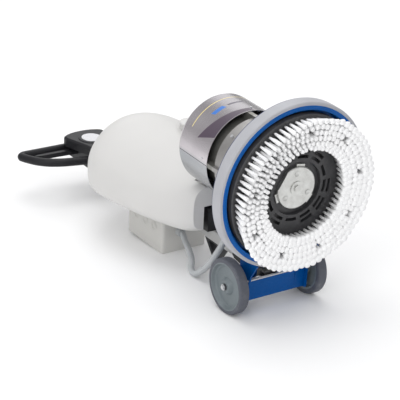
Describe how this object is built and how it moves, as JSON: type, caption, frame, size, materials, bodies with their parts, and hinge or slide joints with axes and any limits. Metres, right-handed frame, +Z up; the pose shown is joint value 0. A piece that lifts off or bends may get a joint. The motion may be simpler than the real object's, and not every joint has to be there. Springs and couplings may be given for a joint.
{
  "type": "single-disc floor machine",
  "caption": "Upright single-disc floor machine tipped back on its wheels: round brush deck with a covered motor, solution tank, switch box and looped handle on a tilting pole.",
  "frame": {"origin": "middle of the outline on the floor, where the wheels stand", "axes": "+X the way the brush faces, along the pole from the grips to the brush; +Y to the machine's far side in the picture, along the axle; +Z up"},
  "size_m": [1.2058, 0.455, 0.5905],
  "materials": {
    "blue_paint": "smooth blue enamel on cast metal",
    "bumper_rubber": "plain grey rubber band",
    "brush_black": "moulded black block, satin",
    "bristle_white": "white nylon bristle tufts",
    "plate_steel": "turned and pressed steel",
    "gear_steel": "oiled cut steel",
    "cast_alu": "die cast, lightly machined",
    "frame_alu": "bare cast motor frame, mid grey",
    "motor_iron": "dark painted motor iron",
    "copper": "varnished copper winding",
    "cover_steel": "polished sheet steel",
    "zinc": "bright zinc plating",
    "fan_plastic": "dark moulded plastic",
    "tyre_grey": "non marking dark grey rubber",
    "rim_grey": "grey blue moulded hub",
    "bracket_black": "black powder coat",
    "pole_paint": "light grey paint",
    "box_grey": "warm light grey moulding",
    "gland_grey": "light grey flexible plastic",
    "capacitor_alu": "drawn can",
    "tank_white": "milky translucent moulding, soft sheen",
    "console_black": "black moulded plastic, fine grain",
    "button_grey": "smooth grey push button",
    "badge_white": "plain white oval"
  },
  "bodies": {
    "deck": {"deck_housing": "blue_paint", "bumper_ring": "bumper_rubber", "gearbox_housing": "cast_alu", "ring_gear": "gear_steel", "bearings": "gear_steel", "motor_flange": "cast_alu", "motor_frame": "frame_alu", "stator_core": "motor_iron", "stator_windings": "copper", "end_bell": "cast_alu", "motor_cover_upper": "cover_steel", "motor_cover_lower": "cover_steel", "motor_screws": "zinc", "chassis": "blue_paint", "foot_bar": "zinc", "axle": "zinc", "motor_gland": "gland_grey"},
    "brush_drive": {"carrier": "gear_steel", "drive_plate": "plate_steel", "plate_bolt": "plate_steel", "brush_block": "brush_black", "bristles": "bristle_white"},
    "planet_1": {"planet_gear_1": "gear_steel"},
    "planet_2": {"planet_gear_2": "gear_steel"},
    "planet_3": {"planet_gear_3": "gear_steel"},
    "rotor": {"motor_shaft": "gear_steel", "sun_gear": "gear_steel", "rotor_core": "motor_iron", "cooling_fan": "fan_plastic"},
    "wheel_near": {"tyre_near": "tyre_grey", "rim_near": "rim_grey", "bush_near": "fan_plastic"},
    "wheel_far": {"tyre_far": "tyre_grey", "rim_far": "rim_grey", "bush_far": "fan_plastic"},
    "handle": {"hinge_bracket": "bracket_black", "pivot_bush": "fan_plastic", "cord_hook": "bracket_black", "pole": "pole_paint", "box_body": "box_grey", "box_lid": "box_grey", "box_screws": "zinc", "box_glands": "gland_grey", "capacitor": "capacitor_alu", "terminal_block": "fan_plastic", "tank_lower_near": "tank_white", "tank_upper_near": "tank_white", "tank_lower_far": "tank_white", "tank_upper_far": "tank_white", "valve_block": "bracket_black", "console_upper": "console_black", "badge": "badge_white", "console_lower": "console_black", "switch_block": "fan_plastic", "hinge_pins": "zinc", "conduit": "gland_grey"},
    "grip_lever_near": {"lever_near": "console_black"},
    "grip_lever_far": {"lever_far": "console_black"},
    "lock_button": {"interlock_button": "button_grey"},
    "cap": {"filler_cap": "tank_white"}
  },
  "joints": [
    {"name": "brush_spin", "type": "hinge", "parent": "deck", "child": "brush_drive", "pos_m": [0.53216, 0, 0.3609], "axis": [-0.9962, 0, 0.0872], "continuous": true},
    {"name": "rotor_spin", "type": "hinge", "parent": "deck", "child": "rotor", "pos_m": [0.53216, 0, 0.3609], "axis": [-0.9962, 0, 0.0872], "continuous": true},
    {"name": "planet_1_spin", "type": "hinge", "parent": "brush_drive", "child": "planet_1", "pos_m": [0.43148, 0, 0.41488], "axis": [-0.9962, 0, 0.0872], "continuous": true},
    {"name": "planet_2_spin", "type": "hinge", "parent": "brush_drive", "child": "planet_2", "pos_m": [0.4256, 0.03897, 0.34764], "axis": [-0.9962, 0, 0.0872], "continuous": true},
    {"name": "planet_3_spin", "type": "hinge", "parent": "brush_drive", "child": "planet_3", "pos_m": [0.4256, -0.03897, 0.34764], "axis": [-0.9962, 0, 0.0872], "continuous": true},
    {"name": "wheel_near_spin", "type": "hinge", "parent": "deck", "child": "wheel_near", "pos_m": [0.43226, -0.126, 0.0762], "axis": [0, 1, 0], "continuous": true},
    {"name": "wheel_far_spin", "type": "hinge", "parent": "deck", "child": "wheel_far", "pos_m": [0.43226, 0.126, 0.0762], "axis": [0, 1, 0], "continuous": true},
    {"name": "handle_tilt", "type": "hinge", "parent": "handle", "child": "deck", "pos_m": [0.43226, 0, 0.0762], "axis": [0, 1, 0], "range_deg": [0, 35], "deforming": ["conduit"]},
    {"name": "lever_near_squeeze", "type": "hinge", "parent": "handle", "child": "grip_lever_near", "pos_m": [-0.54897, -0.028, 0.13564], "axis": [-0.0523, 0, -0.9986], "range_deg": [0, 5.5], "stiffness_Nm_per_rad": 2, "springref_deg": -6.88},
    {"name": "lever_far_squeeze", "type": "hinge", "parent": "handle", "child": "grip_lever_far", "pos_m": [-0.54897, 0.028, 0.13564], "axis": [0.0523, 0, 0.9986], "range_deg": [0, 5.5], "stiffness_Nm_per_rad": 2, "springref_deg": -6.88},
    {"name": "button_press", "type": "slide", "parent": "handle", "child": "lock_button", "axis": [0.9986, 0, -0.0523], "range_m": [0, 0.004], "stiffness_N_per_m": 300, "springref_m": -0.003},
    {"name": "cap_lift", "type": "hinge", "parent": "handle", "child": "cap", "pos_m": [-0.11538, 0.147, 0.32671], "axis": [-0.9986, 0, 0.0523], "range_deg": [0, 105]}
  ],
  "couplings": [
    {"joint": "rotor_spin", "follows": "brush_spin", "ratio": 8},
    {"joint": "planet_1_spin", "follows": "brush_spin", "ratio": -2.3333},
    {"joint": "planet_2_spin", "follows": "brush_spin", "ratio": -2.3333},
    {"joint": "planet_3_spin", "follows": "brush_spin", "ratio": -2.3333}
  ]
}
